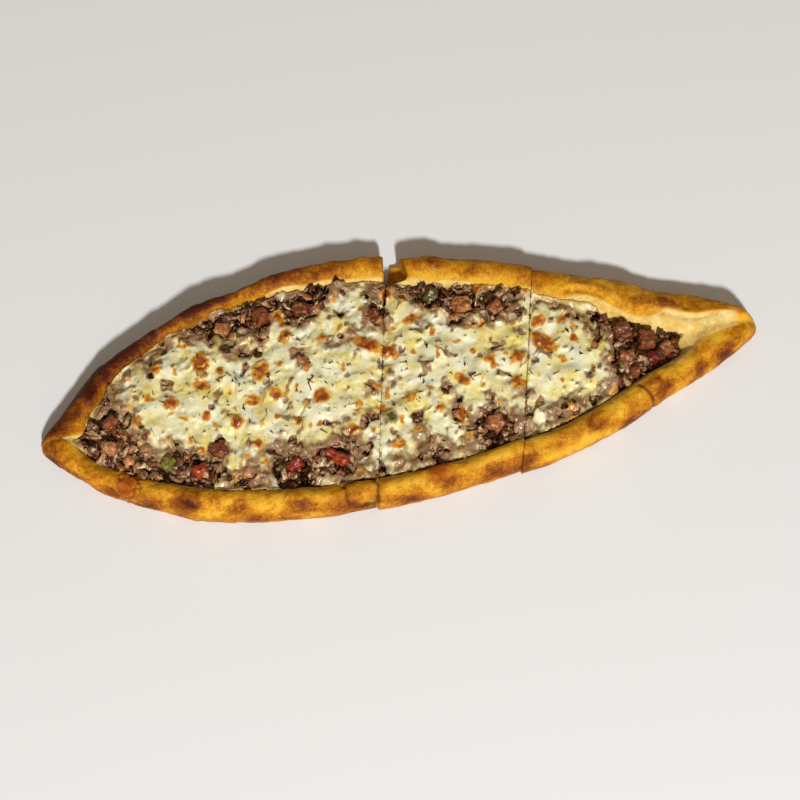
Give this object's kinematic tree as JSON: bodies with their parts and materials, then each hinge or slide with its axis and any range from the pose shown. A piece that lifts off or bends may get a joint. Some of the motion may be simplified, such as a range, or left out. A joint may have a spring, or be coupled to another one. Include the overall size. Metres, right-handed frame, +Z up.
{
  "type": "turkish pide",
  "caption": "Open boat-shaped flatbread with a rolled rim, filled with diced meat, peppers and melted cheese, cut across into slices.",
  "frame": {"origin": "middle of the underside's bounding box, on the surface that the pide rests on", "axes": "+X along the length towards the pinched tip that lifts a little, +Y across towards the far rim, +Z up"},
  "size_m": [0.3914, 0.1462, 0.0218],
  "materials": {
    "crust": "golden brown baked dough, matte, darker on the ridge of the rim and pale inside it",
    "filling": "moist minced and diced meat with onion and peppers",
    "cheese": "melted pale yellow cheese with toasted orange-brown spots",
    "meat": "browned diced meat, moist",
    "tomato": "cooked red tomato and red pepper, glossy",
    "pepper": "cooked green pepper, glossy"
  },
  "bodies": {
    "root": {"crust_1": "crust", "filling_1": "filling", "cheese_1": "cheese", "crust_2": "crust", "filling_2": "filling", "cheese_2": "cheese", "crust_3": "crust", "filling_3": "filling", "cheese_3": "cheese", "crust_4": "crust", "filling_4": "filling", "cheese_4": "cheese", "crust_strip": "crust", "crust_wedge": "crust", "meat_1": "meat", "meat_2": "meat", "meat_3": "meat", "meat_4": "meat", "meat_5": "meat", "meat_6": "meat", "meat_7": "meat", "meat_8": "meat", "meat_9": "meat", "meat_10": "meat", "meat_11": "meat", "meat_12": "meat", "meat_13": "meat", "meat_14": "meat", "meat_15": "meat", "tomato_1": "tomato", "tomato_2": "tomato", "tomato_3": "tomato", "tomato_4": "tomato", "pepper_1": "pepper", "pepper_2": "pepper", "pepper_3": "pepper"}
  },
  "joints": []
}
